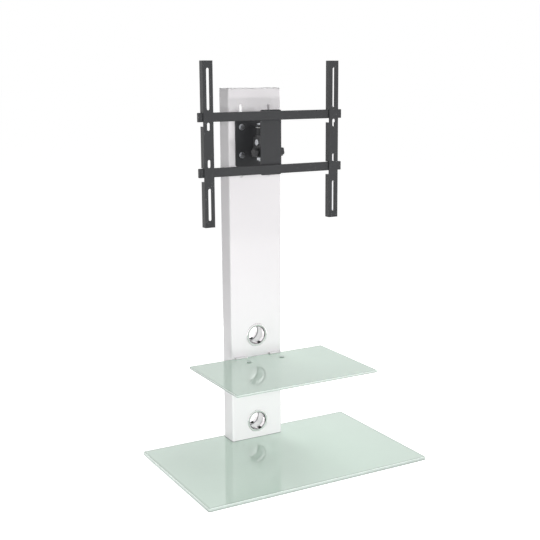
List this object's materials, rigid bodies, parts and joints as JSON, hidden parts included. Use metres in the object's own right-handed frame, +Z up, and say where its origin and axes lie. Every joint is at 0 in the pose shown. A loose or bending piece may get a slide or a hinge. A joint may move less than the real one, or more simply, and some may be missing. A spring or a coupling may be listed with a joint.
{
  "type": "TV stand",
  "caption": "Pedestal TV stand: glass base and shelf, white steel column with chrome cable rings, and a TV mount that lifts, swivels and tilts.",
  "frame": {"origin": "on the floor under the middle of the base", "axes": "+Z up, the longest way; +Y to the back, the shortest; the TV faces -Y"},
  "size_m": [0.7, 0.45, 1.155],
  "materials": {
    "satin_glass": "toughened glass, satin mint-green backing, glossy face, ground edges",
    "white_steel": "white powder coat, semi-gloss",
    "white_plastic": "white moulded plastic, fine texture",
    "chrome_ring": "polished chrome plate",
    "black_steel": "black powder coat, satin",
    "black_plastic": "black moulded plastic",
    "zinc_steel": "bright zinc-plated steel",
    "rubber": "black rubber",
    "dark_cap": "dark grey coated steel",
    "nylon": "natural nylon"
  },
  "bodies": {
    "stand": {"base_glass": "satin_glass", "shelf_glass": "satin_glass", "column_shell": "white_steel", "shelf_bracket_left": "white_steel", "shelf_bracket_right": "white_steel", "column_cap": "white_plastic", "front_ring_lower": "chrome_ring", "front_ring_upper": "chrome_ring", "base_clamp_plate": "zinc_steel", "column_foot_plate": "zinc_steel", "base_bolt_1": "zinc_steel", "base_bolt_2": "zinc_steel", "base_bolt_3": "zinc_steel", "base_bolt_4": "zinc_steel", "bracket_screw_1": "zinc_steel", "bracket_screw_2": "zinc_steel", "bracket_screw_3": "zinc_steel", "bracket_screw_4": "zinc_steel", "foot_front_left": "rubber", "foot_front_right": "rubber", "foot_rear_left": "rubber", "foot_rear_right": "rubber", "column_gasket": "rubber", "base_gasket": "rubber", "shelf_pad_left": "rubber", "shelf_pad_right": "rubber", "shelf_bolt_left": "dark_cap", "shelf_bolt_right": "dark_cap"},
    "rear_cover": {"rear_cover": "white_plastic", "rear_ring_lower": "chrome_ring", "rear_ring_upper": "chrome_ring"},
    "mount_carriage": {"mount_carriage": "black_steel", "clamp_bar_left": "zinc_steel", "clamp_bar_right": "zinc_steel", "swivel_pin": "zinc_steel", "swivel_nut": "zinc_steel", "swivel_washer_upper": "nylon", "swivel_washer_lower": "nylon", "carriage_bolt_1": "zinc_steel", "carriage_bolt_2": "zinc_steel", "carriage_bolt_3": "zinc_steel", "carriage_bolt_4": "zinc_steel"},
    "swivel_head": {"swivel_head": "black_steel", "tilt_bolt_left": "zinc_steel", "tilt_bolt_right": "zinc_steel"},
    "tilt_frame": {"tilt_bracket": "black_steel", "rail_lower": "black_steel", "rail_upper": "black_steel", "rail_cap_lower_left": "black_plastic", "rail_cap_lower_right": "black_plastic", "rail_cap_upper_left": "black_plastic", "rail_cap_upper_right": "black_plastic"},
    "tilt_knob_left": {"tilt_knob_left": "black_plastic"},
    "tilt_knob_right": {"tilt_knob_right": "black_plastic"},
    "tv_arm_left": {"tv_arm_left": "black_steel", "arm_screw_left": "zinc_steel"},
    "tv_arm_right": {"tv_arm_right": "black_steel", "arm_screw_right": "zinc_steel"}
  },
  "joints": [
    {"name": "rear_cover_pull", "type": "slide", "parent": "stand", "child": "rear_cover", "axis": [0, 1, 0], "range_m": [0, 0.06]},
    {"name": "mount_height", "type": "slide", "parent": "stand", "child": "mount_carriage", "axis": [0, 0, 1], "range_m": [-0.06, 0.06]},
    {"name": "mount_swivel", "type": "hinge", "parent": "mount_carriage", "child": "swivel_head", "pos_m": [0, 0.126, 0.93], "axis": [0, 0, 1], "range_deg": [-20, 20]},
    {"name": "mount_tilt", "type": "hinge", "parent": "swivel_head", "child": "tilt_frame", "pos_m": [0, 0.081, 0.93], "axis": [1, 0, 0], "range_deg": [-5, 12]},
    {"name": "tilt_knob_left_turn", "type": "hinge", "parent": "swivel_head", "child": "tilt_knob_left", "pos_m": [-0.0333, 0.081, 0.902], "axis": [1, 0, 0], "range_deg": [-180, 180]},
    {"name": "tilt_knob_right_turn", "type": "hinge", "parent": "swivel_head", "child": "tilt_knob_right", "pos_m": [0.0333, 0.081, 0.902], "axis": [1, 0, 0], "range_deg": [-180, 180]},
    {"name": "arm_left_slide", "type": "slide", "parent": "tilt_frame", "child": "tv_arm_left", "axis": [1, 0, 0], "range_m": [0, 0.1]},
    {"name": "arm_right_slide", "type": "slide", "parent": "tilt_frame", "child": "tv_arm_right", "axis": [-1, 0, 0], "range_m": [0, 0.1]}
  ]
}
